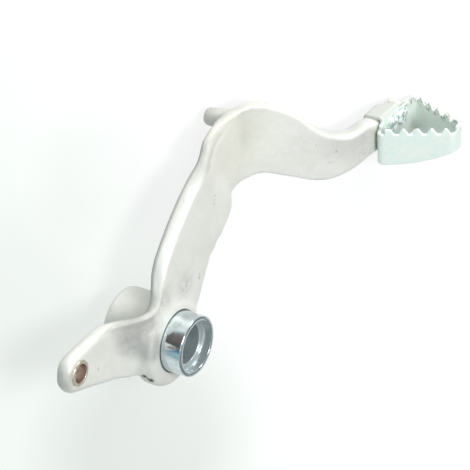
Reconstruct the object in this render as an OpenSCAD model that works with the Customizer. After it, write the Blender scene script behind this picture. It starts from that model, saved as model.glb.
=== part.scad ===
// Rear brake pedal of an off-road motorbike: a cast aluminium bell-crank arm
// with a steel pivot bush, a small bush for the master-cylinder clevis pin and
// a folded, toothed steel toe piece riveted over the arm's front end.
// X is forward, Y is inboard (left side of the bike), Z is up, in millimetres.
// The origin is where the pivot axis crosses the mid plane of the arm's web.

/* [Pivot] */
// Outside diameter of the steel pivot bush
bush_od = 26; // [24:0.5:28]
// Wall of the pivot bush round its running bore
bush_wall = 4.5; // [3.5:0.25:6]
// Wall of the bush round the seal seat at each end
seat_wall = 2; // [1.25:0.25:3]
// Depth of each seal seat
seat_depth = 4; // [2:0.5:6]
// How far the bush stands out of the boss on the outboard side
bush_proud = 9.4; // [5:0.2:12]
// Outside diameter of the boss where it meets the arm
boss_od = 38.4; // [36:0.2:42]
// Outside diameter of the inboard tube of the boss
tube_od = 33.2; // [31:0.2:34.6]
// How far the boss's outside is set back and down from its bore
boss_off = 1; // [0:0.1:1.5]
// Length of the boss along the pivot axis
boss_len = 26.6; // [22:0.2:30]
// Diameter of the grease hole drilled up into the boss
grease_d = 4.6; // [3:0.2:6]

/* [Arm] */
// Thickness of the arm
arm_t = 6.5; // [5.5:0.25:8]
// Height of the knee's crown above the pivot axis
knee_rise = 78; // [70:0.5:86]
// Distance from the pivot axis to the arm's front end
reach = 135; // [125:0.5:150]
// How far the front of the arm is carried outboard
joggle = 35; // [20:1:42]
// Depth of the arm's front end, top to bottom
tip_h = 14; // [12:0.5:16]
// Height of the top of the arm's front end above the pivot axis
tip_top = 54.2; // [46:0.2:60]
// Radius of the spring post inboard of the knee
post_r = 3.7; // [3:0.1:5]
// Length of the spring post
post_len = 9.8; // [6:0.2:14]

/* [Lug] */
// Distance of the clevis pin hole behind the pivot axis
lug_x = 50; // [44:0.5:58]
// Height of the clevis pin hole above the pivot axis
lug_z = 11.2; // [6:0.2:16]
// Radius of the lug's rounded end
lug_r = 8.8; // [8.4:0.1:11]
// How far the lug is set inboard of the arm
lug_set = 11.6; // [8:0.2:14]
// Outside diameter of the clevis pin bush
pin_od = 10.8; // [10:0.2:12]
// Bore of the clevis pin bush
pin_bore = 8; // [6:0.5:9]

/* [Toe piece] */
// Sheet thickness of the toe piece
sheet = 1.6; // [1.2:0.1:2]
// Length of the toothed loop where it lies along the arm
toe_len = 36; // [32:1:42]
// How far the loop reaches outboard of the arm
toe_out = 31; // [27:0.5:36]
// Width across the loop's nose
nose_w = 11; // [9:0.5:14]
// Depth of the loop's wall at the arm
toe_h = 17; // [14:0.2:20]
// Rise of the loop's lower edge from the arm to the nose
toe_rise = 6.2; // [0:0.2:8]
// Number of teeth along each flank of the loop
teeth = 5; // [4:1:6]
// Depth of the gullets between teeth
tooth_h = 2.4; // [2:0.1:3.2]
// Diameter of the rivets that hold the toe piece
rivet_d = 5; // [4:0.5:6]

/* [Hidden] */
eps = 0.02;
// Bores of the pivot bush
bush_bore = bush_od - 2 * bush_wall;
seat_d = bush_od - 2 * seat_wall;
// Boss and bush ends along Y, the outboard end first
boss_y0 = -(arm_t / 2 + 0.95);
boss_y1 = boss_y0 + boss_len;
bush_y0 = boss_y0 - bush_proud;
bush_y1 = boss_y1 + 0.6;
// Joggle of the arm: starts ahead of the knee, ends where the saddle begins
jog_x0 = 50;
jog_x1 = reach - 18;
// Upper arm stretched to suit the reach, knee raised to suit its height
kx = (reach - 50) / 85;
kz = knee_rise / 78;
tip_bot = tip_top - tip_h;

// Smooth step and its slope
function sm(t) = let(c = min(1, max(0, t))) c * c * (3 - 2 * c);
function dsm(t) = let(c = min(1, max(0, t))) 6 * c * (1 - c);
// Mid plane of the casting: inboard at the lug, outboard at the toe
lug_x0 = -lug_x + 24;
lug_x1 = -9;
function mid_y(x) = lug_set * (1 - sm((x - lug_x0) / (lug_x1 - lug_x0)))
  - joggle * sm((x - jog_x0) / (jog_x1 - jog_x0));
function mid_dy(x) = -lug_set * dsm((x - lug_x0) / (lug_x1 - lug_x0)) / (lug_x1 - lug_x0)
  - joggle * dsm((x - jog_x0) / (jog_x1 - jog_x0)) / (jog_x1 - jog_x0);

// A station of the upper arm, stretched with the reach
function up(x) = 50 + (x - 50) * kx;
// Stations of the casting from the lug to the toe. Each row is the rear or
// upper edge point, then the front or lower edge point, then the edge radius.
rb = boss_od / 2;
stations = [
  [-lug_x + 9, lug_z + lug_r + 0.2, -lug_x + 9, lug_z - lug_r - 4, 3],
  [-28.5, lug_z + lug_r - 0.3, -28.5, -6.2, 4],
  [-16.5, 20, -rb * 0.69, -rb * 0.45, 7],
  [-10, 22.2, -rb * 0.1, -rb * 0.72, 6],
  [-6.2, 29.8, rb * 0.58, -rb * 0.48, 3.4],
  [-1.8, 38.8, rb * 0.86, rb * 0.07, 2.4],
  [7.6, 48.2 * kz, 28.2, 19.4, 2.2],
  [19.5, 57.8 * kz, 40.3, 28.6, 2.2],
  [30.6, 64.2 * kz, 48.8, 35.6 * kz, 2.2],
  [34.4, 68 * kz, 50.6, 41.4 * kz, 2.4],
  [39.6, 73.6 * kz, 54.4, 44 * kz, 2],
  [54, 77.6 * kz, 59.5, 45.7 * kz, 1.8],
  [up(66.5), 77 * kz, up(68), 45.5 * kz, 1.6],
  [up(79), 68 * kz, up(78.5), 40 * kz, 1.4],
  [up(89.5), 57 * kz, up(89.5), 35.2 * kz, 1.3],
  [up(99), tip_top - 1.7, up(99), tip_bot - 4.6, 1.2],
  [up(108), tip_top + 0.5, up(109), tip_bot - 0.6, 1.2],
  [up(117), tip_top, up(118), tip_bot, 1.2]
];
// Smooth curve through the stations
function cr(a, b, c, d, t) = 0.5 * (2 * b + (c - a) * t
  + (2 * a - 5 * b + 4 * c - d) * t * t + (3 * b - a - 3 * c + d) * t * t * t);
ns = len(stations);
function st(i) = stations[min(ns - 1, max(0, i))];
function at(s) = let(i = min(ns - 2, floor(s)))
  cr(st(i - 1), st(i), st(i + 1), st(i + 2), s - i);

// Rounded lug end: rows that follow the end circle, thinned to round its edge
lug_dir = [-lug_x, lug_z] / norm([lug_x, lug_z]);
lug_nrm = [lug_dir[1], -lug_dir[0]];
function thin(d, r) = d >= r ? arm_t / 2 : arm_t / 2 - r + sqrt(r * r - (r - d) * (r - d));
function lug_row(a) = let(
    c = [-lug_x, lug_z],
    t = c + lug_r * (lug_dir * cos(a) + lug_nrm * sin(a)),
    b = c + lug_r * (lug_dir * cos(a) - lug_nrm * sin(a)))
  [t[0], t[1], b[0], b[1], 3.1, thin(lug_r * (1 - cos(a)) + 0.25, 3.1)];
function arm_row(s) = let(r = at(s)) [r[0], r[1], r[2], r[3], r[4], arm_t / 2];
// Front end of the arm, its last millimetres rounded off
function tip_row(d) = [reach - d, tip_top - 0.2 * max(0, 3 - d), reach - d,
  tip_bot + 0.2 * max(0, 3 - d), 1.2, thin(d + 0.2, 1.4)];

sub = 3;
rows = concat(
  [for (a = [9, 24, 40, 57, 75]) lug_row(a)],
  [for (k = [0:(ns - 1) * sub]) arm_row(k / sub)],
  [for (d = [3, 1.2, 0.4, 0]) tip_row(d)]
);

// Ring of points round one row: a plate section with rounded edges
function ring(r) = let(
    t = [r[0], r[1]],
    b = [r[2], r[3]],
    w = norm(t - b) / 2,
    e = (t - b) / (2 * w),
    m = (t + b) / 2,
    h = r[5],
    ra = min(r[4], w * 0.95),
    rh = min(r[4], h * 0.98))
  [for (q = [0:3], a = [0, 22.5, 45, 67.5, 90])
    let(
      an = q * 90 + a,
      sa = (q == 0 || q == 3) ? 1 : -1,
      sh = (q < 2) ? 1 : -1,
      pa = sa * (w - ra) + ra * cos(an),
      ph = sh * (h - rh) + rh * sin(an),
      x = m[0] + e[0] * pa,
      d = mid_dy(x),
      l = sqrt(1 + d * d))
    [x + ph * d / l, mid_y(x) - ph / l, m[1] + e[1] * pa]];

kr = 20;
function middle(r) = let(x = (r[0] + r[2]) / 2) [x, mid_y(x), (r[1] + r[3]) / 2];
module web() {
  n = len(rows);
  // The last two points are the middles of the end faces
  pts = concat([for (r = rows) each ring(r)], [middle(rows[0]), middle(rows[n - 1])]);
  side = [for (i = [0:n - 2], k = [0:kr - 1])
    let(a = i * kr + k, b = i * kr + (k + 1) % kr)
    each [[a, b + kr, b], [a, a + kr, b + kr]]];
  cap0 = [for (k = [0:kr - 1]) [n * kr, k, (k + 1) % kr]];
  cap1 = [for (k = [0:kr - 1]) [n * kr + 1, (n - 1) * kr + (k + 1) % kr, (n - 1) * kr + k]];
  polyhedron(points = pts, faces = concat(side, cap0, cap1), convexity = 10);
}

// Turned outside of the boss: a flange with a rounded shoulder, set a little
// back and down from the bore, and a slimmer tube inboard
module boss() {
  rt = tube_od / 2;
  translate([-boss_off, 0, -boss_off * 0.4]) rotate([-90, 0, 0]) rotate_extrude($fn = 96) polygon(concat(
    [[0, boss_y0], [rb - 3.2, boss_y0]],
    [for (a = [75, 60, 45, 30, 15, 0])
      [rb - 3.2 + 3.2 * cos(a), boss_y0 + 3.2 - 3.2 * sin(a)]],
    [[rb, boss_y0 + 7], [rb - 2.2, boss_y0 + 11], [0, boss_y0 + 11]]
  ));
  translate([-boss_off * 0.3, 0, boss_off * 0.4]) rotate([-90, 0, 0]) rotate_extrude($fn = 96) polygon([
    [0, boss_y0 + 3], [rt, boss_y0 + 3], [rt, boss_y1 - 1.2], [rt - 1.2, boss_y1], [0, boss_y1]
  ]);
}

// Cast post inboard of the knee, its end rounded
post_x = 57.8;
post_z = 71.2 * kz;
module post() {
  y0 = arm_t / 2;
  translate([post_x, 0, post_z]) rotate([-90, 0, 0]) rotate_extrude($fn = 48) polygon([
    [0, 0], [post_r + 2.4, 0], [post_r + 2.2, y0], [post_r + 1.7, y0 + 0.8],
    [post_r + 1.4, y0 + 2], [post_r, y0 + post_len - 1.4], [post_r - 0.4, y0 + post_len - 0.5],
    [post_r - 1.4, y0 + post_len], [0, y0 + post_len]
  ]);
}

// Small cast heel on the front edge of the lower arm
module heel() {
  translate([33.4, -arm_t / 2 + 0.8, 25.6]) rotate([-90, 0, 0])
    cylinder(r = 3, h = arm_t - 1.6, $fn = 40);
}

// Rivet centres along the saddle
saddle_x0 = reach - 21.8;
saddle_len = 15.5;
riv_x = [saddle_x0 + 7.8, saddle_x0 + 16.4];
riv_z = tip_top - tip_h * 0.36;
tip_y = -joggle;

module pedal_arm() {
  color([0.80, 0.80, 0.78]) difference() {
    union() {
      web();
      boss();
      post();
      heel();
    }
    translate([0, boss_y0 - 1, 0]) rotate([-90, 0, 0])
      cylinder(d = bush_od, h = boss_len + 2, $fn = 96);
    translate([-lug_x, lug_set - arm_t, lug_z]) rotate([-90, 0, 0])
      cylinder(d = pin_od, h = arm_t * 2, $fn = 64);
    translate([0, boss_y0 + 8, 0]) rotate([0, 222, 0])
      cylinder(d = grease_d, h = rb + 4, $fn = 32);
    for (x = riv_x) translate([x, tip_y - arm_t, riv_z]) rotate([-90, 0, 0])
      cylinder(d = rivet_d, h = arm_t * 2, $fn = 40);
  }
}

module pivot_bush() {
  color([0.62, 0.64, 0.66]) rotate([-90, 0, 0]) rotate_extrude($fn = 96) polygon([
    [seat_d / 2, bush_y0], [bush_od / 2 - 0.5, bush_y0], [bush_od / 2, bush_y0 + 0.5],
    [bush_od / 2, bush_y1 - 0.5], [bush_od / 2 - 0.5, bush_y1], [seat_d / 2, bush_y1],
    [seat_d / 2, bush_y1 - seat_depth], [bush_bore / 2 + 0.6, bush_y1 - seat_depth],
    [bush_bore / 2, bush_y1 - seat_depth - 0.6], [bush_bore / 2, bush_y0 + seat_depth + 0.6],
    [bush_bore / 2 + 0.6, bush_y0 + seat_depth], [seat_d / 2, bush_y0 + seat_depth]
  ]);
}

module pin_bush() {
  hw = arm_t / 2 + 0.3;
  color([0.78, 0.62, 0.32]) translate([-lug_x, lug_set, lug_z]) rotate([-90, 0, 0])
    rotate_extrude($fn = 64) polygon([
      [pin_bore / 2, -hw + 0.4], [pin_bore / 2 + 0.4, -hw], [pin_od / 2 - 0.3, -hw],
      [pin_od / 2, -hw + 0.3], [pin_od / 2, hw - 0.3], [pin_od / 2 - 0.3, hw],
      [pin_bore / 2 + 0.4, hw], [pin_bore / 2, hw - 0.4]
    ]);
}

// Toe piece. The loop is a tapered ring of sheet: a straight base against the
// arm's outboard face, two toothed flanks and a rounded nose.
toe_top = tip_top - 1.2;
base_y = tip_y - arm_t / 2;
toe_x0 = reach - 26.7;
toe_cx = toe_x0 + toe_len / 2;
bend_f = 3;
bend_a = 2;
nose_r = nose_w / 2;
// Corner circles of the loop's outside, seen from above: two at the base, and
// two at the nose
nose_cr = min(4.5, nose_r - 0.4);
corner = [
  [toe_x0 + bend_f, base_y - bend_f, bend_f],
  [toe_cx - nose_r + nose_cr, base_y - toe_out + nose_cr, nose_cr],
  [toe_cx + nose_r - nose_cr, base_y - toe_out + nose_cr, nose_cr],
  [toe_x0 + toe_len - bend_a, base_y - bend_a, bend_a]
];
// Outward direction, in degrees, of the straight wall from one corner to the next
function wall_a(a, b) = let(d = [b[0] - a[0], b[1] - a[1]])
  atan2(d[1], d[0]) - 90 + asin((a[2] - b[2]) / norm(d));
left_a = 360 + wall_a(corner[0], corner[1]);
right_a = 360 + wall_a(corner[2], corner[3]);
function arc(c, r, a0, a1) = [for (k = [0:6]) let(a = a0 + (a1 - a0) * k / 6)
  [c[0] + r * cos(a), c[1] + r * sin(a)]];
function loop_pts(g) = concat(
  arc(corner[0], corner[0][2] - g, 90, left_a),
  arc(corner[1], corner[1][2] - g, left_a, 270),
  arc(corner[2], corner[2][2] - g, 270, right_a),
  arc(corner[3], corner[3][2] - g, right_a, 450)
);
flank_len = norm([toe_out, toe_len / 2 - nose_r]);
pitch = flank_len / (teeth + 0.6);

// Cutters for one flank's gullets: prisms set along the flank, counted from
// the end of the bend at the arm. way is 1 towards the nose on the rear flank
// and -1 on the front flank.
gul_top = pitch * 0.42;
gul_bot = pitch * 0.15;
module flank_gullets(c, a, way, first, count) {
  n = [cos(a), sin(a)];
  p = [c[0], c[1]] + (c[2] - sheet / 2) * n;
  run = a + 90 * way;
  for (k = [0:count - 1])
    translate([p[0] + (first + pitch * k) * cos(run), p[1] + (first + pitch * k) * sin(run), toe_top])
      rotate([90, 0, run]) linear_extrude(sheet * 3, center = true) polygon([
        [-gul_top, 1], [-gul_top, 0], [-gul_bot - 0.25, -tooth_h + 0.5],
        [-gul_bot, -tooth_h], [gul_bot, -tooth_h], [gul_bot + 0.25, -tooth_h + 0.5],
        [gul_top, 0], [gul_top, 1]
      ]);
}

gap = 0.06;
sad_in = tip_y + arm_t / 2 + gap;
sad_out = tip_y - arm_t / 2 - gap;
sad_top = tip_top + gap + sheet;
cheek_bot = riv_z - 5;
cheek_len = 14;
// Folded saddle over the top of the arm, its bends rounded outside
module saddle() {
  translate([saddle_x0, 0, 0]) rotate([90, 0, 90]) linear_extrude(saddle_len) polygon(concat(
    [[sad_out, riv_z], [sad_out - sheet, riv_z]],
    [for (a = [180, 160, 140, 120, 105, 90])
      [sad_out - sheet + 2 + 2 * cos(a), sad_top - 2 + 2 * sin(a)]],
    [for (a = [90, 75, 60, 40, 20, 0])
      [sad_in + sheet - 2 + 2 * cos(a), sad_top - 2 + 2 * sin(a)]],
    [[sad_in + sheet, cheek_bot], [sad_in, cheek_bot], [sad_in, tip_top + gap], [sad_out, tip_top + gap]]
  ));
}

module toe_loop() {
  lo = toe_top - toe_h;
  difference() {
    translate([0, 0, lo]) linear_extrude(toe_h) difference() {
      polygon(loop_pts(0));
      polygon(loop_pts(sheet));
    }
    flank_gullets(corner[0], left_a, 1, 5.2, teeth);
    flank_gullets(corner[3], right_a, -1, 0.2, teeth);
    // The rear bend is cut down smooth, without a tooth
    translate([toe_x0 - 1, base_y - bend_f - 1.5, toe_top - tooth_h])
      cube([bend_f + 1.4, bend_f + 3, tooth_h + 1]);
    // Lower edge: level under the arm's half, then swept up to the nose
    translate([toe_x0 - 5, base_y, lo]) rotate([90, 0, 90]) linear_extrude(toe_len + 10) polygon([
      [1, -1], [1, -0.01], [-toe_out * 0.3, 0], [-toe_out * 0.5, toe_rise * 0.12],
      [-toe_out * 0.75, toe_rise * 0.42], [-toe_out * 0.9, toe_rise * 0.74],
      [-toe_out - 1, toe_rise], [-toe_out - 1, -1]
    ]);
  }
}

// Web of sheet that climbs from the loop's base wall to the saddle
module riser() {
  low = toe_top - tooth_h;
  translate([0, sad_out, 0]) rotate([90, 0, 0]) linear_extrude(sheet) polygon([
    [saddle_x0 - 2, low - 4], [saddle_x0 + saddle_len + 4, low - 4],
    [saddle_x0 + saddle_len + 2, toe_top - 0.4], [saddle_x0 + saddle_len, toe_top + 0.8],
    [saddle_x0 + saddle_len, sad_top - 1.8], [saddle_x0, sad_top - 1.8],
    [saddle_x0 - 0.3, sad_top - 3], [saddle_x0 - 1.4, low + 0.7], [saddle_x0 - 2, low]
  ]);
}

module toe_piece() {
  color([0.70, 0.74, 0.72]) difference() {
    union() {
      toe_loop();
      riser();
      saddle();
    }
    // Front inboard corner of the saddle is cropped off, its cheek with it
    translate([saddle_x0 + cheek_len, sad_in - 3.5, cheek_bot - 1]) rotate([0, 0, 45])
      cube([12, 12, sad_top - cheek_bot + 2]);
    for (x = riv_x) translate([x, sad_out - sheet - 3, riv_z]) rotate([-90, 0, 0])
      cylinder(d = rivet_d, h = arm_t + 2 * sheet + 6, $fn = 40);
  }
}

// Two solid rivets. The rear one is headed on the saddle's inboard cheek, the
// front one on the arm itself.
module rivet(x, yb) {
  ya = sad_out - sheet;
  hr = rivet_d * 0.8;
  rs = rivet_d / 2 - 0.1;
  translate([x, 0, riv_z]) rotate([-90, 0, 0]) rotate_extrude($fn = 40) polygon([
    [0, ya - 2], [hr * 0.45, ya - 1.9], [hr * 0.78, ya - 1.4], [hr, ya - 0.5], [hr, ya],
    [rs, ya], [rs, yb], [hr, yb], [hr, yb + 0.5], [hr * 0.78, yb + 1.4], [hr * 0.45, yb + 1.9],
    [0, yb + 2]
  ]);
}
module toe_rivets() {
  color([0.66, 0.68, 0.68]) {
    rivet(riv_x[0], sad_in + sheet);
    rivet(riv_x[1], tip_y + arm_t / 2);
  }
}

pedal_arm();
pivot_bush();
pin_bush();
toe_piece();
toe_rivets();
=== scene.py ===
import math

import bmesh
import bpy
import numpy as np
from mathutils import Matrix, Vector, noise
from mathutils.bvhtree import BVHTree


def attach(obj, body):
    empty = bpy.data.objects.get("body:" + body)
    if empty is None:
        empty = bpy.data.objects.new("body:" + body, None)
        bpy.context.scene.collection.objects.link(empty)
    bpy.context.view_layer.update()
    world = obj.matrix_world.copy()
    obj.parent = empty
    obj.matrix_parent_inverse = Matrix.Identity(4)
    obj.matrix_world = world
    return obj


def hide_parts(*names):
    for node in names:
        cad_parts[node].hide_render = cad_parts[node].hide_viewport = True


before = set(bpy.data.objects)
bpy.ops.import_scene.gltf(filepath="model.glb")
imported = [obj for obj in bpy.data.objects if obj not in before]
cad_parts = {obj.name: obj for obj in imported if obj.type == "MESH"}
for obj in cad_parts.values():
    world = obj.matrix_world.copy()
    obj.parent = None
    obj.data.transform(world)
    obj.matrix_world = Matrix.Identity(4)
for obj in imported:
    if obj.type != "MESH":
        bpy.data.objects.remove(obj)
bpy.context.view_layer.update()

# A motorbike's rear brake pedal: the cast arm, two bushes, and the folded toe
# piece with its two rivets, lying on white paper.
#
# Lengths and places are in millimetres, in the part's own frame: X forward, Y
# inboard, Z up, from the pivot axis. They are turned into metres where a mesh,
# a lamp or the camera is made.
MM = 0.001
UP = Vector((0, 0, 1))

# ---------------------------------------------------------------- sizes
# The arm's web, and its tip inside the toe piece
ARM_T, REACH, JOGGLE, TIP_H, TIP_TOP = 6.5, 135.0, 35.0, 14.0, 54.2
HALF_T = ARM_T / 2
TIP_BOT = TIP_TOP - TIP_H
TIP_Y = -JOGGLE
# The boss: a flange outboard and a tube inboard, each a little off the axis
BOSS_OD, TUBE_OD, BOSS_OFF, BOSS_LEN = 38.4, 33.2, 1.0, 26.6
BOSS_R = BOSS_OD / 2
BOSS_Y0 = -(HALF_T + 0.95)
BOSS_Y1 = BOSS_Y0 + BOSS_LEN
GREASE_D = 4.6
# The pivot bush, with a seal seat at each end
BUSH_OD, BUSH_BORE, SEAT_D, SEAT_DEPTH, BUSH_PROUD = 26.0, 17.0, 22.0, 4.0, 9.4
BUSH_Y0 = BOSS_Y0 - BUSH_PROUD
BUSH_Y1 = BOSS_Y1 + 0.6
# The lug and its bush
LUG_X, LUG_Z, LUG_R, LUG_SET, PIN_OD, PIN_BORE = 50.0, 11.2, 8.8, 11.6, 10.8, 8.0
LUG_AT = (-LUG_X, LUG_Z)
# Where the web leaves the lug's plane, and where it steps outboard to the toe
LUG_X0, LUG_X1 = -LUG_X + 22, -11.0
JOG_X0, JOG_X1 = 50.0, REACH - 18.0
LUG_RUN, JOG_RUN = LUG_X1 - LUG_X0, JOG_X1 - JOG_X0
# Spring post on the knee, and heel on the arm's front edge
POST_R, POST_LEN, POST_AT = 3.7, 9.8, (57.8, 72)
HEEL_R, HEEL_AT = 3, (33.4, 25.6)
# The toe piece's sheet, its saddle over the arm, and the rivets
SHEET, RIVET_D, GAP = 1.6, 5.0, 0.06
SADDLE_X0 = REACH - 21.8
SAD_IN = TIP_Y + HALF_T + GAP
SAD_OUT = TIP_Y - HALF_T - GAP
RIV_X = (SADDLE_X0 + 7.8, SADDLE_X0 + 16.4)
RIV_Z = TIP_TOP - TIP_H * 0.36
TOOTH_TOP = TIP_TOP - 1.2
# Voxels of the casting's and the sheet's skins
ARM_VOXEL, SHEET_VOXEL = 0.5, 0.21


# ---------------------------------------------------------------- mesh helpers
def shade_smooth(me):
    me.polygons.foreach_set("use_smooth", [True] * len(me.polygons))


def mesh_object(name, verts, faces, smooth=True):
    """A mesh object from points in millimetres."""
    me = bpy.data.meshes.new(name)
    points = [tuple(float(c) * MM for c in v) for v in verts]
    me.from_pydata(points, [], [tuple(int(i) for i in f) for f in faces])
    me.update()
    if smooth:
        shade_smooth(me)
    ob = bpy.data.objects.new(name, me)
    bpy.context.scene.collection.objects.link(ob)
    return ob


def lathe(profile, seg, centre=(0.0, 0.0), closed=False):
    """Points and faces of a profile (radius, y) turned round a Y axis through centre (x, z)."""
    n = len(profile)
    verts, faces = [], []
    for k in range(seg):
        a = 2 * math.pi * k / seg
        for r, y in profile:
            verts.append((centre[0] + r * math.cos(a), y, centre[1] + r * math.sin(a)))
    last = n if closed else n - 1
    for k in range(seg):
        m = (k + 1) % seg
        for i in range(last):
            j = (i + 1) % n
            faces.append((k * n + i, k * n + j, m * n + j, m * n + i))
    return verts, faces


def weld(ob, dist=1e-7):
    """Joins points that lie on each other and turns the faces outwards."""
    bm = bmesh.new()
    bm.from_mesh(ob.data)
    bmesh.ops.remove_doubles(bm, verts=bm.verts, dist=dist)
    bmesh.ops.dissolve_degenerate(bm, edges=bm.edges, dist=1e-8)
    bmesh.ops.recalc_face_normals(bm, faces=bm.faces)
    bm.to_mesh(ob.data)
    bm.free()
    ob.data.update()
    return ob


def sharpen(ob, angle):
    """Smooth shading, with edges above the angle left sharp."""
    bm = bmesh.new()
    bm.from_mesh(ob.data)
    limit = math.radians(angle)
    for e in bm.edges:
        e.smooth = not (len(e.link_faces) == 2 and e.calc_face_angle(0) > limit)
    for f in bm.faces:
        f.smooth = True
    bm.to_mesh(ob.data)
    bm.free()
    ob.data.update()
    return ob


def bake(ob):
    """The object's modifiers made part of its mesh."""
    dg = bpy.context.evaluated_depsgraph_get()
    dg.update()
    me = bpy.data.meshes.new_from_object(ob.evaluated_get(dg))
    old = ob.data
    ob.modifiers.clear()
    ob.data = me
    bpy.data.meshes.remove(old)
    return ob


def voxel(ob, size):
    """One even skin round all that the object holds."""
    md = ob.modifiers.new("skin", "REMESH")
    md.mode = "VOXEL"
    md.voxel_size = size * MM
    md.use_smooth_shade = True
    return bake(ob)


def cut(ob, verts, faces):
    """Takes a closed shape away from the object."""
    cutter = weld(mesh_object("cutter", verts, faces))
    md = ob.modifiers.new("cut", "BOOLEAN")
    md.operation = "DIFFERENCE"
    md.object = cutter
    md.solver = "EXACT"
    bake(ob)
    me = cutter.data
    bpy.data.objects.remove(cutter)
    bpy.data.meshes.remove(me)


def drill(ob, diameter, y0, y1, edge, seg, centre=(0.0, 0.0)):
    """A bore along Y for a bush, with a broken edge at each mouth."""
    r = diameter / 2 + 0.02
    wide = r + (1 + edge)
    cut(ob, *lathe([(0, y0 - 1), (wide, y0 - 1), (r, y0 + edge), (r, y1 - edge),
                    (wide, y1 + 1), (0, y1 + 1)], seg, centre))


def coords(me, what="co"):
    """The vertices' places or normals, a row of three each, in metres."""
    out = np.empty(len(me.vertices) * 3)
    me.vertices.foreach_get(what, out)
    return out.reshape(-1, 3)


def set_coords(me, co):
    me.vertices.foreach_set("co", co.ravel())
    me.update()


def relax(ob, weight, rounds, steps=(0.5,)):
    """Smooths a mesh along its edges, each point as far as its weight says. A step is the
    share of the way to the neighbours' mean; one below 0 puts back what the last one shrank."""
    me = ob.data
    co = coords(me)
    ends = np.empty(len(me.edges) * 2, dtype=np.int64)
    me.edges.foreach_get("vertices", ends)
    a, b = ends[0::2], ends[1::2]
    n = len(co)
    count = np.bincount(a, minlength=n) + np.bincount(b, minlength=n)
    w = weight[:, None]
    for _ in range(rounds):
        for step in steps:
            mean = np.stack([(np.bincount(a, co[b, i], n) + np.bincount(b, co[a, i], n)) / count
                             for i in range(3)], 1)
            co = co + w * step * (mean - co)
    set_coords(me, co)


def round_profile(points, radii, steps=5):
    """A (radius, y) outline with each corner rounded by its own radius."""
    out = []
    n = len(points)
    for i, r in enumerate(radii):
        p, a, b = (np.array(points[j], float) for j in (i, i - 1, (i + 1) % n))
        ua, ub = (a - p) / np.linalg.norm(a - p), (b - p) / np.linalg.norm(b - p)
        for s in range(steps + 1):
            t = s / steps
            out.append(tuple(p + ua * r * (1 - t) ** 2 + ub * r * t ** 2))
    return out


def turned_ring(name, corners, radii, seg, centre=(0.0, 0.0)):
    """A turned ring from its section's corners (radius, y) and the corners' radii."""
    profile = round_profile(corners, radii)
    return sharpen(weld(mesh_object(name, *lathe(profile, seg, centre, closed=True))), 40)


# ---------------------------------------------------------------- the casting
def smooth_step(t):
    c = min(1.0, max(0.0, t))
    return c * c * (3 - 2 * c)


def step_slope(t):
    """How steeply smooth_step climbs."""
    c = min(1.0, max(0.0, t))
    return 6 * c * (1 - c)


def rise(v, start, length):
    """0 up to start, 1 from start + length on."""
    return smooth_step((v - start) / length)


def fall(v, start, length):
    """1 up to start, 0 from start + length on."""
    return 1 - rise(v, start, length)


def mid_y(x):
    """The web's middle: set in at the lug, on the axis' mid plane, then outboard to the toe."""
    return LUG_SET * fall(x, LUG_X0, LUG_RUN) - JOGGLE * rise(x, JOG_X0, JOG_RUN)


def mid_dy(x):
    """The slope of mid_y."""
    return -LUG_SET * step_slope((x - LUG_X0) / LUG_RUN) / LUG_RUN \
        - JOGGLE * step_slope((x - JOG_X0) / JOG_RUN) / JOG_RUN


# Stations from the lug to the toe, each (x, z) of the rear or upper edge, (x, z)
# of the front or lower edge, and the edges' radius
STATIONS = [
    (-LUG_X + 9, LUG_Z + LUG_R + 0.2, -LUG_X + 9, LUG_Z - LUG_R - 4, 3),
    (-28.5, LUG_Z + LUG_R - 0.3, -28.5, -6.2, 2.2),
    (-17, 20.2, -BOSS_R * 0.69, -BOSS_R * 0.45, 1.3),
    (-10.6, 22, -BOSS_R * 0.1, -BOSS_R * 0.72, 1.2),
    (-6.2, 29.8, BOSS_R * 0.58, -BOSS_R * 0.48, 1.6),
    (-1.8, 38.8, BOSS_R * 0.86, BOSS_R * 0.07, 2.2),
    (7.6, 48.2, 28.2, 19.4, 2.2),
    (19.5, 57.8, 40.3, 28.6, 2.2),
    (30.6, 64.2, 48.8, 35.6, 2.2),
    (34.4, 68, 50.6, 41.4, 2.4),
    (39.6, 73.6, 54.4, 44, 1.6),
    (54, 77.4, 59.5, 45.2, 1.1),
    (67, 77.2, 68, 45, 0.8),
    (79.4, 69.3, 78.5, 39.6, 0.7),
    (89.8, 57.8, 89.5, 34.8, 0.7),
    (99, TIP_TOP - 1.1, 99, TIP_BOT - 4.6, 0.9),
    (108, TIP_TOP + 0.5, 109, TIP_BOT - 0.6, 1.2),
    (117, TIP_TOP, 118, TIP_BOT, 1.2),
]
# Rows from each station to the next
SUB = 10
# Rows round the lug's end, by their angle from its outermost point, and the
# radius of its edge
LUG_ANGLES, LUG_EDGE = (6, 12, 20, 30, 40, 50, 60, 70, 80), 3.1
# Rows at the tip, by their distance from its end, the radius of its edge and
# the roundness of its end
TIP_ROWS, TIP_EDGE, TIP_ROUND = (3, 2, 1.2, 0.8, 0.4, 0.15, 0), 1.2, 1.4
# Angles of the points on each quarter of a row
QUARTER = [15.0 * i for i in range(7)]
RING = 4 * len(QUARTER)
# The knee begins at this height
KNEE_Z = 62


def catmull(a, b, c, d, t):
    return 0.5 * (2 * b + (c - a) * t + (2 * a - 5 * b + 4 * c - d) * t * t
                  + (3 * b - a - 3 * c + d) * t ** 3)


def half_at(d, r):
    """The web's half thickness at a distance from an end that is rounded by r."""
    d += 0.1
    return HALF_T if d >= r else HALF_T - r + math.sqrt(max(0.0, r * r - (r - d) ** 2))


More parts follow.
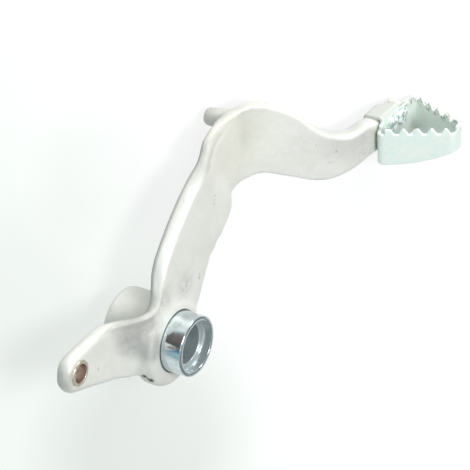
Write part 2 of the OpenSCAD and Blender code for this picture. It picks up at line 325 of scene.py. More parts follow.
def web_rows():
    """The web's rows: each a station as above, then its half thickness."""
    st = [np.array(s, float) for s in STATIONS]
    c = np.array(LUG_AT)
    u = c / math.hypot(*LUG_AT)
    v = np.array([u[1], -u[0]])
    rows = []
    for a in LUG_ANGLES:
        ca, sa = math.cos(math.radians(a)), math.sin(math.radians(a))
        rear, front = c + LUG_R * (u * ca + v * sa), c + LUG_R * (u * ca - v * sa)
        rows.append((*rear, *front, LUG_EDGE, half_at(LUG_R * (1 - ca), LUG_EDGE)))
    last = len(st) - 1
    for k in range(last * SUB + 1):
        s = k / SUB
        i = min(last - 1, int(s))
        near = [st[min(last, max(0, j))] for j in (i - 1, i, i + 1, i + 2)]
        rows.append((*catmull(*near, s - i), HALF_T))
    for d in TIP_ROWS:
        taper = 0.2 * max(0, 3 - d)
        rows.append((REACH - d, TIP_TOP - taper, REACH - d, TIP_BOT + taper,
                     TIP_EDGE, half_at(d, TIP_ROUND)))
    return rows


def web_mesh():
    """The arm's web from lug to toe, each row a ring of four rounded corners."""
    rows = web_rows()
    verts, faces = [], []
    for rear_x, rear_z, front_x, front_z, edge, half in rows:
        rear, front = np.array((rear_x, rear_z)), np.array((front_x, front_z))
        w = np.linalg.norm(rear - front) / 2
        along = (rear - front) / (2 * w)
        middle = (rear + front) / 2
        # The rear edge is rolled over towards the outboard face on the lower
        # arm, and more so on the knee's bulge
        knee = rise(rear_z, KNEE_Z, 7) * fall(rear_x, 44, 12)
        roll = rise(rear_z, 20, 9) * fall(rear_z, KNEE_Z, 6) * (1 - knee)
        # Between lug and arm the edge falls away inboard, down to the tube
        fold = rise(rear_x, -31, 8) * fall(rear_z, 25, 9)
        # The face lies a little lower from the knee to the joggle
        sunk = 0.9 * rise(rear_z, KNEE_Z, 8) * fall(rear_x, 84, 16)
        for q, (to_rear, outboard) in enumerate(((1, 1), (-1, 1), (-1, -1), (1, -1))):
            # Each corner's radius across the web's width and through its thickness
            across, through = edge, edge
            if q == 0:
                across = edge + 0.7 * roll + 4.5 * knee
                through = edge + 2.7 * roll + 3.4 * knee
            if q == 3:
                across = edge - 0.9 * roll + 0.6 * knee + 5.0 * fold
                through = edge - 0.8 * roll + 3.4 * fold
            across = min(across, w * 0.95)
            through = min(through, half * (1.45 if to_rear > 0 else 0.98))
            for a in QUARTER:
                an = math.radians(q * 90 + a)
                pa = to_rear * (w - across) + across * math.cos(an)
                ph = outboard * (half - through) + through * math.sin(an)
                if outboard > 0 and ph > 0:
                    ph *= 1 - sunk / half
                x = middle[0] + along[0] * pa
                d = mid_dy(x)
                slant = math.sqrt(1 + d * d)
                verts.append((x + ph * d / slant, mid_y(x) - ph / slant,
                              middle[1] + along[1] * pa))
    last = len(rows) - 1
    for i in range(last):
        for k in range(RING):
            a, b = i * RING + k, i * RING + (k + 1) % RING
            faces.append((a, a + RING, b + RING, b))
    faces.append(tuple(range(RING)))
    faces.append(tuple(reversed(range(last * RING, (last + 1) * RING))))
    return verts, faces


def boss_parts():
    """The boss's flange, rounded outboard, and the tube behind it."""
    rt, edge = TUBE_OD / 2, 3.2
    arc = [math.radians(a) for a in range(90, -1, -9)]
    flange = [(0, BOSS_Y0)]
    flange += [(BOSS_R - edge + edge * math.cos(a), BOSS_Y0 + edge - edge * math.sin(a))
               for a in arc]
    flange += [(BOSS_R, BOSS_Y0 + 7), (BOSS_R - 1.2, BOSS_Y0 + 9.6),
               (BOSS_R - 2.2, BOSS_Y0 + 11), (0, BOSS_Y0 + 11)]
    tube = [(0, BOSS_Y0 + 3), (rt, BOSS_Y0 + 3), (rt, BOSS_Y1 - 1.4), (rt - 0.4, BOSS_Y1 - 0.4),
            (rt - 1.4, BOSS_Y1), (0, BOSS_Y1)]
    return (lathe(flange, 128, (-BOSS_OFF, -BOSS_OFF * 0.4)),
            lathe(tube, 128, (-BOSS_OFF * 0.3, BOSS_OFF * 0.4)))


def post_mesh():
    """The spring post, from the web's middle, with a flared root and a rounded end."""
    y0, y1 = HALF_T, HALF_T + POST_LEN
    return lathe([(0, 0), (POST_R + 1.6, 0), (POST_R + 1.5, y0), (POST_R + 1.2, y0 + 0.8),
                  (POST_R + 0.9, y0 + 2), (POST_R, y1 - 1.4), (POST_R - 0.4, y1 - 0.5),
                  (POST_R - 1.4, y1), (0, y1)], 64, POST_AT)


def heel_mesh():
    y, r = HALF_T - 0.8, HEEL_R
    return lathe([(0, -y), (r - 0.6, -y), (r, -y + 0.6), (r, y - 0.6), (r - 0.6, y), (0, y)],
                 48, HEEL_AT)


def grease_hole():
    """A countersunk hole across the axis, which comes out under the boss."""
    r = GREASE_D / 2
    verts, faces = lathe([(0, 0), (r, 0), (r, BOSS_R - 0.9), (r + 2.5, BOSS_R + 4),
                          (0, BOSS_R + 4)], 48)
    a = math.radians(222)
    ca, sa = math.cos(a), math.sin(a)
    return [(y * sa + x * ca, BOSS_Y0 + 8 + z, y * ca - x * sa) for x, y, z in verts], faces


def merge(name, shapes):
    """One object of several closed shapes."""
    verts, faces = [], []
    for v, f in shapes:
        start = len(verts)
        verts += v
        faces += [tuple(i + start for i in q) for q in f]
    return weld(mesh_object(name, verts, faces))


def seam_weight(co, shapes):
    """1 where two shapes' skins meet, falling to 0 at 4.2 mm from the farther one."""
    near = []
    for v, f in shapes:
        tree = BVHTree.FromPolygons([Vector(p) for p in v], [tuple(q) for q in f])
        near.append(np.array([tree.find_nearest(Vector(p))[3] for p in co]))
    second = np.sort(np.array(near), axis=0)[1]
    t = np.clip(1 - (second - 0.8) / 3.4, 0, 1)
    return t * t * (3 - 2 * t)


def cast_share(co):
    """1 on the cast skin, and little on the machined faces at the boss's ends."""
    r = np.hypot(co[:, 0], co[:, 2])
    share = np.ones(len(co))
    share[(r < BOSS_R - 2.6) & (co[:, 1] < BOSS_Y0 + 0.6)] = 0.15
    share[(r < TUBE_OD / 2 - 0.6) & (co[:, 1] > BOSS_Y1 - 0.6)] = 0.1
    return share


def dent_skin(me, share):
    """The uneven skin of a casting, pressed inwards only."""
    co = coords(me)
    dent = np.array([0.5 + 0.5 * noise.noise(Vector(p) / (9 * MM))
                     + 0.35 * noise.noise(Vector(p) / (3.1 * MM)) for p in co])
    dent = np.clip(dent, 0, 1.2) * 0.14 * np.where(share < 1, 0.1, 1.0)
    set_coords(me, co - coords(me, "normal") * dent[:, None] * MM)


def build_arm():
    shapes = [web_mesh(), *boss_parts(), post_mesh(), heel_mesh()]
    ob = voxel(merge("arm_casting", shapes), ARM_VOXEL)
    co = coords(ob.data) / MM
    share = cast_share(co)
    relax(ob, seam_weight(co, shapes) * share, 60)
    relax(ob, share, 5, (0.5, -0.52))
    dent_skin(ob.data, share)
    drill(ob, BUSH_OD, BOSS_Y0, BOSS_Y1, 0.35, 160)
    drill(ob, PIN_OD, LUG_SET - HALF_T, LUG_SET + HALF_T, 0.3, 96, LUG_AT)
    cut(ob, *grease_hole())
    shade_smooth(ob.data)
    return ob


# ---------------------------------------------------------------- the other pieces
def build_bush():
    ro, rs, ri = BUSH_OD / 2, SEAT_D / 2, BUSH_BORE / 2
    y0, y1 = BUSH_Y0 + SEAT_DEPTH, BUSH_Y1 - SEAT_DEPTH
    return turned_ring(
        "pivot_bush_turned",
        [(rs, BUSH_Y0), (ro, BUSH_Y0), (ro, BUSH_Y1), (rs, BUSH_Y1), (rs, y1), (ri, y1),
         (ri, y0), (rs, y0)],
        [0.35, 0.6, 0.6, 0.35, 0.3, 0.7, 0.7, 0.3], 192)


def build_pin_bush():
    ro, ri = PIN_OD / 2, PIN_BORE / 2
    half = HALF_T + 0.3
    y0, y1 = LUG_SET - half, LUG_SET + half
    return turned_ring("pin_bush_turned", [(ri, y0), (ro, y0), (ro, y1), (ri, y1)],
                       [0.3, 0.35, 0.35, 0.3], 96, LUG_AT)


def build_toe():
    """The folded sheet: the CAD solid's skin, its punched edges broken."""
    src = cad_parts["toe_piece"]
    me = src.data.copy()
    me.transform(src.matrix_world)
    ob = bpy.data.objects.new("toe_sheet", me)
    bpy.context.scene.collection.objects.link(ob)
    voxel(weld(ob, 2e-6), SHEET_VOXEL)
    relax(ob, np.ones(len(ob.data.vertices)), 7)
    shade_smooth(ob.data)
    return ob


def build_rivets():
    """Two set rivets with a flattened dome at each end. The rear one goes through both walls
    of the saddle, and the front one ends on the arm's inboard face."""
    head_r, shank_r = RIVET_D * 0.8, RIVET_D / 2 - 0.1
    head = [(0.0, 2.0)]
    head += [(head_r * math.sin(t), 0.45 + 1.5 * math.cos(t) ** 0.8)
             for t in np.linspace(0.25, math.pi / 2 - 0.02, 9)]
    head += [(head_r, 0.2), (head_r - 0.15, 0.01), (shank_r, 0.0)]
    y0 = SAD_OUT - SHEET
    obs = []
    for k, (x, y1) in enumerate(((RIV_X[0], SAD_IN + SHEET), (RIV_X[1], TIP_Y + HALF_T))):
        profile = [(r, y0 - h) for r, h in head] + [(r, y1 + h) for r, h in reversed(head)]
        ob = weld(mesh_object("rivet_%d" % (k + 1), *lathe(profile, 72, (x, RIV_Z))))
        obs.append(sharpen(ob, 50))
    return obs


# ---------------------------------------------------------------- node short hand
class Nodes:
    """Short hand for the node tree of a material or a world. A value given to an input is
    a number, a colour, a vector, or another node's output."""

    def __init__(self, owner, output="ShaderNodeOutputMaterial"):
        owner.use_nodes = True
        self.owner = owner
        self.tree = owner.node_tree
        self.tree.nodes.clear()
        self.out = self.new(output)

    def new(self, kind):
        return self.tree.nodes.new(kind)

    def feed(self, socket, value):
        if isinstance(value, (int, float)):
            socket.default_value = value
        elif isinstance(value, (tuple, Vector)):
            socket.default_value = (*value, 1) if socket.type == "RGBA" else tuple(value)
        else:
            self.tree.links.new(value, socket)

    # Places and directions

    def coords(self):
        """The place on the part, in millimetres."""
        mapping = self.new("ShaderNodeMapping")
        self.feed(mapping.inputs["Scale"], (1 / MM,) * 3)
        self.feed(mapping.inputs["Vector"], self.new("ShaderNodeTexCoord").outputs["Object"])
        return mapping.outputs["Vector"]

    def split(self, vec):
        """x, y and z."""
        n = self.new("ShaderNodeSeparateXYZ")
        self.feed(n.inputs[0], vec)
        return n.outputs

    def vector(self, op, *values, out="Vector"):
        n = self.new("ShaderNodeVectorMath")
        n.operation = op
        for socket, v in zip(n.inputs, values):
            self.feed(socket, v)
        return n.outputs[out]

    def dot(self, vec, axis):
        return self.vector("DOT_PRODUCT", vec, axis, out="Value")

    def distance(self, vec, point):
        return self.vector("DISTANCE", vec, point, out="Value")

    # Numbers

    def math(self, op, a, b=None, clamp=False):
        n = self.new("ShaderNodeMath")
        n.operation = op
        n.use_clamp = clamp
        self.feed(n.inputs[0], a)
        if b is not None:
            self.feed(n.inputs[1], b)
        return n.outputs[0]

    def add(self, first, *others):
        for v in others:
            first = self.math("ADD", first, v)
        return first

    def mul(self, first, *others):
        for v in others:
            first = self.math("MULTIPLY", first, v)
        return first

    def hypot(self, a, b):
        return self.math("SQRT", self.add(self.math("POWER", a, 2.0), self.math("POWER", b, 2.0)))

    def span(self, value, a, b, lo=0.0, hi=1.0):
        """value from a to b, mapped smoothly to lo..hi."""
        n = self.new("ShaderNodeMapRange")
        n.interpolation_type = "SMOOTHSTEP"
        for key, v in (("Value", value), ("From Min", a), ("From Max", b),
                       ("To Min", lo), ("To Max", hi)):
            self.feed(n.inputs[key], v)
        return n.outputs["Result"]

    def between(self, value, a, b, c, d):
        """1 from b to c, falling smoothly to 0 at a and d."""
        return self.mul(self.span(value, a, b), self.span(value, d, c))

    # Patterns and masks

    def noise(self, vec, scale, detail=4.0, rough=0.55):
        n = self.new("ShaderNodeTexNoise")
        for key, v in (("Vector", vec), ("Scale", scale), ("Detail", detail),
                       ("Roughness", rough)):
            self.feed(n.inputs[key], v)
        return n.outputs["Fac"]

    def ramp(self, fac, *stops):
        """A ramp through stops (position, grey or colour)."""
        n = self.new("ShaderNodeValToRGB")
        elements = n.color_ramp.elements
        while len(elements) < len(stops):
            elements.new(0.5)
        for e, (p, c) in zip(elements, stops):
            e.position = p
            e.color = (c, c, c, 1) if isinstance(c, (int, float)) else (*c, 1)
        self.feed(n.inputs["Fac"], fac)
        return n.outputs["Color"]

    def cloud(self, vec, centre, radius):
        """1 round a centre, falling to 0 at a distance."""
        near = self.math("DIVIDE", self.distance(vec, centre), radius)
        return self.math("MULTIPLY", self.math("SUBTRACT", 1.0, near, True), 1.8, True)

    def spots(self, vec, places):
        """1 inside any of a few small ragged marks, each (x, y, z, radius)."""
        ragged = self.noise(vec, 1.3, 3.0)
        total = 0.0
        for x, y, z, r in places:
            reach = self.add(self.distance(vec, (x, y, z)), self.mul(ragged, r * 1.2))
            near = self.math("SUBTRACT", 1.0, self.math("DIVIDE", reach, r * 1.9), True)
            total = self.math("MAXIMUM", total, self.math("MULTIPLY", near, 2.5, True))
        return total

    def occlusion(self, distance):
        """How open the place is within a distance in metres."""
        n = self.new("ShaderNodeAmbientOcclusion")
        n.samples = 6
        self.feed(n.inputs["Distance"], distance)
        return n.outputs["AO"]

    # Colours and shaders

    def mix(self, fac, a, b):
        n = self.new("ShaderNodeMix")
        n.data_type = "RGBA"
        for socket, v in ((n.inputs["Factor"], fac), (n.inputs[6], a), (n.inputs[7], b)):
            self.feed(socket, v)
        return n.outputs[2]

    def paint(self, base, tone, *shares):
        """base covered with a tone, as much as the shares' product says."""
        return self.mix(self.mul(*shares), base, tone)

    def blend(self, fac, a, b):
        n = self.new("ShaderNodeMixShader")
        for socket, v in zip(n.inputs, (fac, a, b)):
            self.feed(socket, v)
        return n.outputs[0]

    def colour_shader(self, kind, colour, strength=None):
        n = self.new(kind)
        self.feed(n.inputs["Color"], colour)
        if strength is not None:
            self.feed(n.inputs["Strength"], strength)
        return n.outputs[0]

    def bump(self, height, strength, distance, normal=None):
        """A normal that follows a height, whose range is a distance in metres."""
        n = self.new("ShaderNodeBump")
        for key, v in (("Strength", strength), ("Distance", distance), ("Height", height)):
            self.feed(n.inputs[key], v)
        if normal is not None:
            self.feed(n.inputs["Normal"], normal)
        return n.outputs["Normal"]

    def surface(self, colour, rough, metal, normal):
        """The material, its surface made from these."""
        n = self.new("ShaderNodeBsdfPrincipled")
        for key, v in (("Base Color", colour), ("Roughness", rough), ("Metallic", metal),
                       ("Normal", normal)):
            self.feed(n.inputs[key], v)
        self.feed(self.out.inputs["Surface"], n.outputs[0])
        return self.owner


# ---------------------------------------------------------------- materials
# Small dark marks of the casting, black chips at the foot of the boss, and
# scratches on the boss and above it, each (x, y, z, radius)
PORES = [(62.7, -6.1, 77.2, 0.7), (59, -5.3, 73.4, 0.45), (92.6, -28.4, 47.4, 0.6),
         (85.3, -23, 52.7, 0.35), (89.8, -26.4, 43, 0.4), (78.6, -17.8, 43.2, 0.4),
         (73.9, -14.2, 54.4, 0.4), (33.2, -2.4, 23.3, 1.3), (36.2, -3.3, 49.3, 0.45),
         (35.5, -3.3, 47.6, 0.45), (35.1, -3.2, 46.1, 0.5), (10.6, -3.3, 20.4, 0.7),
         (11.3, -3.3, 21.8, 0.5), (20.4, -3.3, 18.6, 0.8), (20.9, -3.3, 19.9, 0.55),
         (8.2, -3.2, 19.4, 0.5), (-38.2, 8.4, 6.1, 0.55), (-38.3, 8.4, 5.2, 0.4)]
CHIPS = [(-18.9, 0.3, -7.4, 1.1), (-17.5, -1.7, -9.6, 1.25), (-18.3, -0.8, -8.6, 0.7)]
SCRATCHES = [(-12.9, -4.2, 5.6, 0.5), (-13.5, -4.2, 4.0, 0.4), (-14.4, -4.2, 6.5, 0.35),
             (-14.0, -4.2, 8.0, 0.45), (-16.6, -3.4, 4.6, 0.4), (-13.2, -4.2, -0.5, 0.4),
             (-16.0, -3.9, 8.8, 0.4), (-7.5, -2.6, 23.6, 0.6), (-4.0, -3.0, 21.0, 0.5),
             (-10.0, -1.5, 22.0, 0.6), (-1.8, -3.2, 18.0, 0.4)]
# Their amounts and tones
MARKS = [(PORES, 0.5, (0.30, 0.29, 0.26)), (SCRATCHES, 0.45, (0.30, 0.30, 0.29)),
         (CHIPS, 0.95, (0.03, 0.03, 0.03))]
# Films, each (centre, radius, amount): brake dust broken into streaks, and even films of dust and
# of painted shade
STREAKY_FILMS = [((-15.5, -4, 5.5), 6.5, 0.75), ((-6, -3, 23), 7.0, 0.4),
                 ((10, -3.3, 21), 8.0, 0.35), ((107, -36, 46), 11.0, 0.25),
                 ((-18.5, 5, 19), 7.0, 0.5)]
# The even films at the lug's end, on the arm beside the toe piece and on the spring post's end
# are painted shade; the others are dust
EVEN_DUST_AND_SHADE_FILMS = [((-17.6, -2.6, 6.2), 8.0, 0.6), ((-22, 3, 8), 8.0, 0.25),
              ((-58.4, 11.0, 12.5), 6.5, 0.6), ((100, -28, 56), 18.0, 0.32),
              ((57, 12, 76.5), 6.0, 0.45)]
# Tone of dust, which the even films and the boss's flank also use for painted shade, and of
# streaked dust
DUST_AND_SHADE, STREAK_DUST = (0.40, 0.40, 0.385), (0.36, 0.36, 0.34)
# Tones of painted shade on turned-away roundings and on inboard faces, and of a painted highlight
# on the rear wall
TURNED_SHADE, INBOARD_SHADE, WALL_HIGHLIGHT = (0.44, 0.44, 0.41), (0.40, 0.40, 0.38), (0.87, 0.87, 0.84)


def cast_films(m, vec, base, patch):
    """Dust, painted shade, grime and small marks, each at its own place on the casting."""
    # Painted shade with a smudge of dust on the boss's flank, under the corner, thickest here
    base = m.paint(base, DUST_AND_SHADE, m.cloud(vec, (-19, 1, 13), 13.0),
                   m.ramp(patch, (0.3, 0.45), (0.6, 1.0)), 0.85)
    streak = m.ramp(m.noise(vec, 0.5, 5.0, 0.7), (0.36, 0.15), (0.6, 1.0))
    for centre, radius, amount in STREAKY_FILMS:
        base = m.paint(base, STREAK_DUST, m.cloud(vec, centre, radius), streak, amount)
    for centre, radius, amount in EVEN_DUST_AND_SHADE_FILMS:
        base = m.paint(base, DUST_AND_SHADE, m.cloud(vec, centre, radius), amount)
    for places, amount, tone in MARKS:
        base = m.paint(base, tone, m.spots(vec, places), amount)
    return base


def cast_sides(m, vec, base):
    """What depends on which way the casting's surface faces, and where: painted shade and a
    painted highlight, then a yellowed patch and a dark line.
    """
    at_x, at_y, at_z = m.split(vec)
    normal = m.new("ShaderNodeNewGeometry").outputs["Normal"]
    outward = m.dot(normal, (0, -1, 0))
    # Painted shade on the outboard edge where it is rounded over the boss's corner, and on all
    # that turns away from the face round the knee, to dim their bright rounding
    turned = m.span(outward, 0.985, 0.93)
    base = m.paint(base, TURNED_SHADE, turned, m.span(outward, 0.05, 0.45),
                   m.between(at_z, 15.0, 18.5, 26.0, 36.0),
                   m.between(at_x, -40.0, -26.0, -4.0, 3.0), 0.64)
    base = m.paint(base, TURNED_SHADE, turned, m.span(outward, -0.5, -0.1),
                   m.span(at_z, 57.0, 64.0), m.span(at_x, 72.0, 50.0),
                   m.span(outward, 0.0, 0.7, 0.42, 0.85))
    # Painted shade on the inboard edge, which faces away from the light
    base = m.paint(base, INBOARD_SHADE, m.span(outward, -0.1, -0.6), m.span(at_y, 6.0, 3.0), 0.5)
    # Painted shade also on the inboard third of the rear wall, in a narrow band up the arm
    base = m.paint(base, INBOARD_SHADE, m.span(at_y, 0.9, 1.9), m.span(outward, 0.4, 0.1),
                   m.between(at_z, 17.5, 21.0, 68.0, 76.0),
                   m.between(at_x, -26.0, -16.0, 44.0, 52.0), 0.6)
    # Painted highlight on the outboard rounding of the rear wall above the boss
    base = m.paint(base, WALL_HIGHLIGHT, m.span(outward, 0.75, 0.45), m.span(at_y, 1.6, 0.6),
                   m.between(at_z, 20.0, 32.0, 42.0, 54.0), 0.6)
    # Yellowed patch on the knee's face
    base = m.paint(base, (0.76, 0.755, 0.66), m.cloud(vec, (56, -5, 64), 24.0), 0.5)
    # A dark line of dirt where the bush comes out of the boss
    r = m.hypot(at_x, at_z)
    return m.paint(base, (0.10, 0.10, 0.10), m.span(r, BUSH_OD / 2 + 1.0, BUSH_OD / 2 + 0.2),
                   m.span(at_y, -3.0, -3.6), 0.8)


def cast_material():
    m = Nodes(bpy.data.materials.new("cast_aluminium"))
    vec = m.coords()
    broad = m.noise(vec, 0.055, 3.0, 0.6)
    patch = m.noise(vec, 0.32, 4.0, 0.65)
    grain = m.noise(vec, 2.6, 3.0, 0.7)
    fine = m.noise(vec, 6.5, 2.0, 0.6)
    base = m.ramp(broad, (0.3, (0.70, 0.70, 0.655)), (0.7, (0.78, 0.78, 0.745)))
    base = m.paint(base, (0.66, 0.64, 0.57), m.ramp(patch, (0.42, 0.0), (0.75, 1.0)), 0.22)
    # Dark specks of grime in the casting's pores
    speck = m.ramp(m.noise(vec, 0.95, 2.0, 0.5), (0.70, 0.0), (0.76, 1.0))
    base = m.paint(base, (0.33, 0.32, 0.28), speck, 0.45)
    # Painted shade in the corners, darker where the occlusion is closest
    corner_shade = m.ramp(m.occlusion(0.006), (0.25, 1.0), (0.75, 0.0))
    base = m.paint(base, (0.42, 0.42, 0.38), corner_shade, 0.2)
    base = cast_sides(m, vec, cast_films(m, vec, base, patch))
    rough = m.add(0.50, m.mul(patch, 0.16))
    skin = m.bump(m.add(m.mul(grain, 0.5), m.mul(fine, 0.5)), 0.35, 0.00022)
    pits = m.bump(m.math("SUBTRACT", patch, m.mul(speck, 0.6)), 0.3, 0.0006, skin)
    return m.surface(base, rough, 0.35, pits)


def steel_material():
    m = Nodes(bpy.data.materials.new("turned_steel"))
    vec = m.coords()
    at_x, at_y, at_z = m.split(vec)
    r = m.hypot(at_x, at_z)
    # Fine turning marks round the axis: they vary along Y and with the radius
    marks = m.new("ShaderNodeCombineXYZ")
    m.feed(marks.inputs[0], m.add(at_y, r))
    lines = m.noise(marks.outputs[0], 9.0, 3.0, 0.7)
    smear = m.noise(vec, 0.5, 4.0, 0.6)
    base = m.ramp(smear, (0.35, (0.58, 0.65, 0.68)), (0.7, (0.71, 0.78, 0.80)))
    # The bore and its seats are duller than the ground outside
    inner = m.mul(m.math("LESS_THAN", r, BUSH_OD / 2 - 0.4),
                  m.math("GREATER_THAN", at_y, BUSH_Y0 + 0.5))
    base = m.mix(inner, base, (0.56, 0.62, 0.63))
    rough = m.add(0.07, m.mul(inner, 0.14), m.mul(smear, 0.06))
    metal = m.math("SUBTRACT", 1.0, m.mul(inner, 0.28))
    return m.surface(base, rough, metal, m.bump(lines, 0.06, 0.0001))


def bronze_material():
    m = Nodes(bpy.data.materials.new("turned_bronze"))
    vec = m.coords()
    smear = m.noise(vec, 0.9, 4.0, 0.65)
    base = m.ramp(smear, (0.3, (0.62, 0.54, 0.42)), (0.55, (0.82, 0.76, 0.62)),
                  (0.8, (0.86, 0.80, 0.64)))
    # The bore is redder than the ring
    across = m.vector("MULTIPLY_ADD", vec, (1, 0, 1), (LUG_X, 0, -LUG_Z))
    r = m.vector("LENGTH", across, out="Value")
    base = m.mix(m.math("LESS_THAN", r, PIN_BORE / 2 + 0.03), base, (0.50, 0.37, 0.32))
    rough = m.add(0.22, m.mul(smear, 0.2))
    return m.surface(base, rough, 0.9, m.bump(m.noise(vec, 5.0, 3.0), 0.15, 0.0002))


def zinc_material():
    m = Nodes(bpy.data.materials.new("zinc_plate"))
    vec = m.coords()
    at_x, at_y, at_z = m.split(vec)
    broad = m.noise(vec, 0.09, 3.0, 0.6)
    patch = m.noise(vec, 0.6, 5.0, 0.65)
    base = m.ramp(broad, (0.3, (0.76, 0.89, 0.84)), (0.7, (0.86, 0.90, 0.85)))
    base = m.paint(base, (0.55, 0.62, 0.58), m.ramp(patch, (0.5, 0.0), (0.8, 1.0)), 0.3)
    # Painted shade inside the loop, where the sheet sees mostly itself
    loop_shade = m.ramp(m.occlusion(0.014), (0.3, 1.0), (0.85, 0.0))
    base = m.paint(base, (0.42, 0.56, 0.51), loop_shade, 0.2)
    # Warm upright streaks laid within that painted shade, and dark brown patches on the front
    # teeth and the band just below them
    upright = m.vector("MULTIPLY", vec, (1, 1, 0.25))
    streak = m.ramp(m.noise(upright, 0.22, 3.0, 0.6), (0.4, 0.0), (0.62, 1.0))
    base = m.paint(base, (0.60, 0.56, 0.48), loop_shade, streak, 0.4)
    tooth_patch = m.ramp(m.noise(vec, 0.55, 3.0, 0.6), (0.48, 0.0), (0.60, 1.0))
    base = m.paint(base, (0.22, 0.19, 0.17), m.span(at_z, TOOTH_TOP - 5.0, TOOTH_TOP - 3.0),
                   m.span(at_x, 126.0, 131.0), tooth_patch, 0.7)
    # Road dust lies on the strap over the arm
    base = m.paint(base, (0.59, 0.60, 0.56), m.span(at_z, TIP_TOP - 0.5, TIP_TOP + 0.6),
                   m.span(at_y, SAD_OUT - 2.0, SAD_OUT - 0.8))
    rough = m.add(0.36, m.mul(patch, 0.18))
    return m.surface(base, rough, 0.25, m.bump(m.noise(vec, 3.0, 4.0, 0.7), 0.16, 0.0003))


def rivet_material():
    m = Nodes(bpy.data.materials.new("zinc_rivet"))
    vec = m.coords()
    patch = m.noise(vec, 0.55, 2.0, 0.5)
    base = m.ramp(patch, (0.44, (0.40, 0.47, 0.47)), (0.54, (0.90, 0.97, 0.96)))
    rough = m.add(0.25, m.mul(patch, 0.2))
    return m.surface(base, rough, 0.35, m.bump(m.noise(vec, 0.5, 2.0, 0.5), 0.6, 0.0012))


def dress(ob, mat, slot, *nodes):
    """Gives a piece its material, puts it under the root body, and hides the CAD nodes it stands
    for.
    """
    ob.data.materials.clear()
    ob.data.materials.append(mat)
    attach(ob, "root")
    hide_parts(*nodes)
    return ob


pieces = [
    dress(build_arm(), cast_material(), "cast_arm", "pedal_arm"),
    dress(build_bush(), steel_material(), "bush_steel", "pivot_bush"),
    dress(build_pin_bush(), bronze_material(), "bush_bronze", "pin_bush"),
    dress(build_toe(), zinc_material(), "plated_sheet", "toe_piece"),
]
rivet_mat = rivet_material()
for rivet in build_rivets():
    pieces.append(dress(rivet, rivet_mat, "rivet_steel", "toe_rivets"))

# ---------------------------------------------------------------- camera
# Solved from the photo, which is 470 pixels square
AZIMUTH, ELEVATION, ROLL = (math.radians(a) for a in (-57.0397, 31.6689, -3.4092))
CAMERA_AT = Vector((-608.3, -429.5, 506.5))
FOCAL_PX, PHOTO_PX, SENSOR = 2200, 470, 36


def camera_axes():
    """The picture's right and up directions, and the one back to the camera."""
    back = Vector((math.sin(AZIMUTH) * math.cos(ELEVATION),
                   -math.cos(AZIMUTH) * math.cos(ELEVATION), math.sin(ELEVATION)))
    right = (-back).cross(UP).normalized()
    up = right.cross(-back)
    c, s = math.cos(ROLL), math.sin(ROLL)
    return right * c + up * s, -right * s + up * c, back


right, up, back = camera_axes()
cam_data = bpy.data.cameras.new("camera")
cam_data.lens = FOCAL_PX / PHOTO_PX * SENSOR
cam_data.sensor_width = SENSOR
cam_data.clip_start, cam_data.clip_end = 0.01, 20
cam = bpy.data.objects.new("camera", cam_data)
bpy.context.scene.collection.objects.link(cam)
rot = Matrix((right, up, back)).transposed()
cam.matrix_world = Matrix.Translation(CAMERA_AT * MM) @ rot.to_4x4()
bpy.context.scene.camera = cam

# ---------------------------------------------------------------- stage
# The part lies on white paper on its inboard side, on the boss's end, the post
# and the toe piece's front corner. TABLE is the paper's upward direction, and the
# others are where the room's parts are seen from the pedal.
TABLE = Vector((-0.473, -0.863, 0.1765)).normalized()
WINDOW = Vector((0.40, -0.20, 0.90)).normalized()
REAR = Vector((-0.92, 0.36, 0.16)).normalized()
TOP_LEFT = Vector((-0.35, 0.25, 0.90)).normalized()

# The paper reaches this far from its middle, and lies this far under the part
PAPER_HALF, PAPER_GAP = 900.0, 0.05
# Its tone across the picture, a painted falloff of light from the dim lower left to the white
# right
PAPER_TONES = [(0.0, (0.87, 0.91, 0.88)), (0.25, (0.885, 0.925, 0.895)),
               (0.55, (0.96, 0.985, 0.965)), (0.85, (1.0, 1.0, 1.0))]
PAPER_SHIFT, PAPER_RUN = 70.0, 150.0
# Soft shadows on it, each (centre, radius, depth)
PAPER_SHADOWS = [((4.1, 16.8, -60.9), 62.0, 0.13), ((-28.9, 51.5, 20.1), 50.0, 0.05),
                 ((13.0, 36.0, 62.0), 36.0, 0.06), ((116.2, -28.9, 15.9), 20.0, 0.04),
                 ((136.2, -44.4, -6.2), 26.0, 0.04)]


def paper_material():
    """Paper that shows mostly its own tone, takes the part's shadow, and can't be seen from
    below."""
    m = Nodes(bpy.data.materials.new("paper"))
    ray = m.new("ShaderNodeLightPath").outputs
    vec = m.coords()
    uneven = m.mul(m.math("SUBTRACT", m.noise(vec, 0.014, 2.0), 0.5), 26.0)
    t = m.add(m.dot(vec, right), m.mul(m.dot(vec, up), 0.55), uneven, PAPER_SHIFT)
    tone = m.ramp(m.math("DIVIDE", t, PAPER_RUN, True), *PAPER_TONES)
    for centre, radius, depth in PAPER_SHADOWS:
        tone = m.paint(tone, (0, 0, 0), m.cloud(vec, centre, radius), depth)
    # To the part's own bounced light the paper is darker than it looks
    lit = m.mix(ray["Is Diffuse Ray"], tone, (0.36, 0.37, 0.36))
    seen = m.math("MAXIMUM", ray["Is Camera Ray"], ray["Is Glossy Ray"])
    face = m.blend(m.mul(seen, 0.8), m.colour_shader("ShaderNodeBsdfDiffuse", lit),
                   m.colour_shader("ShaderNodeEmission", tone))
    below = m.new("ShaderNodeNewGeometry").outputs["Backfacing"]
    clear = m.new("ShaderNodeBsdfTransparent").outputs[0]
    m.feed(m.out.inputs["Surface"], m.blend(below, face, clear))
    return m.owner


# How far the part reaches down to the table
lowest = min(float((coords(ob.data) @ np.array(TABLE)).min()) for ob in pieces) / MM
side = TABLE.cross(UP).normalized()
ahead = side.cross(TABLE)
corners = [TABLE * (lowest - PAPER_GAP) + side * (a * PAPER_HALF) + ahead * (b * PAPER_HALF)
           for a, b in ((-1, -1), (-1, 1), (1, 1), (1, -1))]
floor = mesh_object("floor", corners, [(0, 1, 2, 3)], smooth=False)
floor.data.materials.append(paper_material())


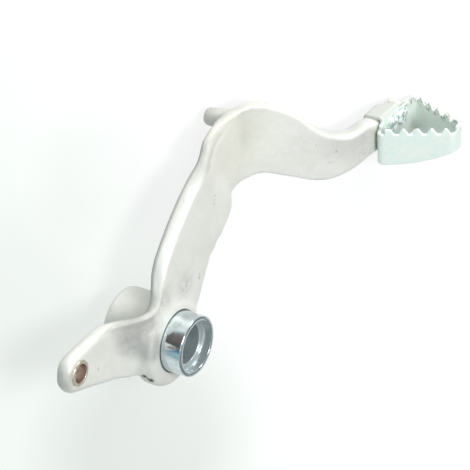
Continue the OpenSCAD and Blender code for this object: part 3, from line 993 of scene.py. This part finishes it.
def make_world():
    """What the part reflects. The camera itself sees white."""
    world = bpy.data.worlds.new("studio")
    bpy.context.scene.world = world
    m = Nodes(world, "ShaderNodeOutputWorld")
    look = m.new("ShaderNodeTexCoord").outputs["Generated"]
    table, window, top_left, rear, high = (
        m.dot(look, axis) for axis in (TABLE, WINDOW, TOP_LEFT, REAR, UP))
    # A white ceiling over the table, and a brighter window side and top left
    level = m.add(m.span(table, -0.1, 1.0, 0.27, 0.42), m.span(window, 0.3, 1.0, 0.0, 0.35),
                  m.span(top_left, 0.55, 1.0, 0.0, 0.4))
    # A dim brown wall behind the part
    wall = m.mul(m.span(rear, 0.35, 0.8), m.span(table, 0.42, 0.1), m.span(high, 0.15, 0.33))
    tint = m.mix(wall, (0.93, 0.99, 1.0), (0.60, 0.52, 0.49))
    level = m.mul(level, m.math("SUBTRACT", 1.0, m.mul(wall, 0.5)))
    # Sky low over the table's edge: pale, with a deeper blue strip
    sky = m.span(rear, 0.5, 0.8)
    level = m.add(level, m.mul(sky, m.span(high, 0.14, 0.02), 0.37))
    tint = m.paint(tint, (0.64, 0.88, 0.93), sky, m.span(high, 0.30, 0.12))
    off = m.math("ABSOLUTE", m.math("SUBTRACT", high, 0.04))
    strip = m.math("SUBTRACT", 1.0, m.math("DIVIDE", off, 0.17), True)
    tint = m.paint(tint, (0.14, 0.34, 0.66), m.span(rear, 0.7, 0.85), strip)
    room = m.colour_shader("ShaderNodeBackground", tint, level)
    white = m.colour_shader("ShaderNodeBackground", (1, 1, 1))
    seen = m.new("ShaderNodeLightPath").outputs["Is Camera Ray"]
    m.feed(m.out.inputs["Surface"], m.blend(seen, room, white))


make_world()

# Soft lamps, all turned to one point of the part from one distance
LAMP_AIM, LAMP_DIST = Vector((35, -15, 30)), 900
# Each lamp: name, direction from the part, width, height, power, colour
LAMPS = [
    ("ceiling", TABLE + Vector((0.1, 0.0, 0.15)), 300, 300, 6.0, (1.0, 0.995, 0.98)),
    ("window", WINDOW, 420, 300, 5.2, (0.99, 1.0, 0.99)),
    ("wall", Vector((-0.93, -0.25, 0.28)), 500, 500, 1.05, (1.0, 1.0, 0.99)),
]
for name, direction, width, height, power, colour in LAMPS:
    lamp = bpy.data.lights.new(name, "AREA")
    lamp.shape = "RECTANGLE"
    lamp.size, lamp.size_y = width * MM, height * MM
    lamp.energy = power
    lamp.color = colour
    ob = bpy.data.objects.new(name, lamp)
    bpy.context.scene.collection.objects.link(ob)
    ob.location = LAMP_AIM * MM + direction.normalized() * LAMP_DIST * MM
    ob.rotation_mode = "QUATERNION"
    ob.rotation_quaternion = (LAMP_AIM * MM - ob.location).to_track_quat("-Z", "Y")

bpy.context.scene.view_settings.view_transform = "Standard"
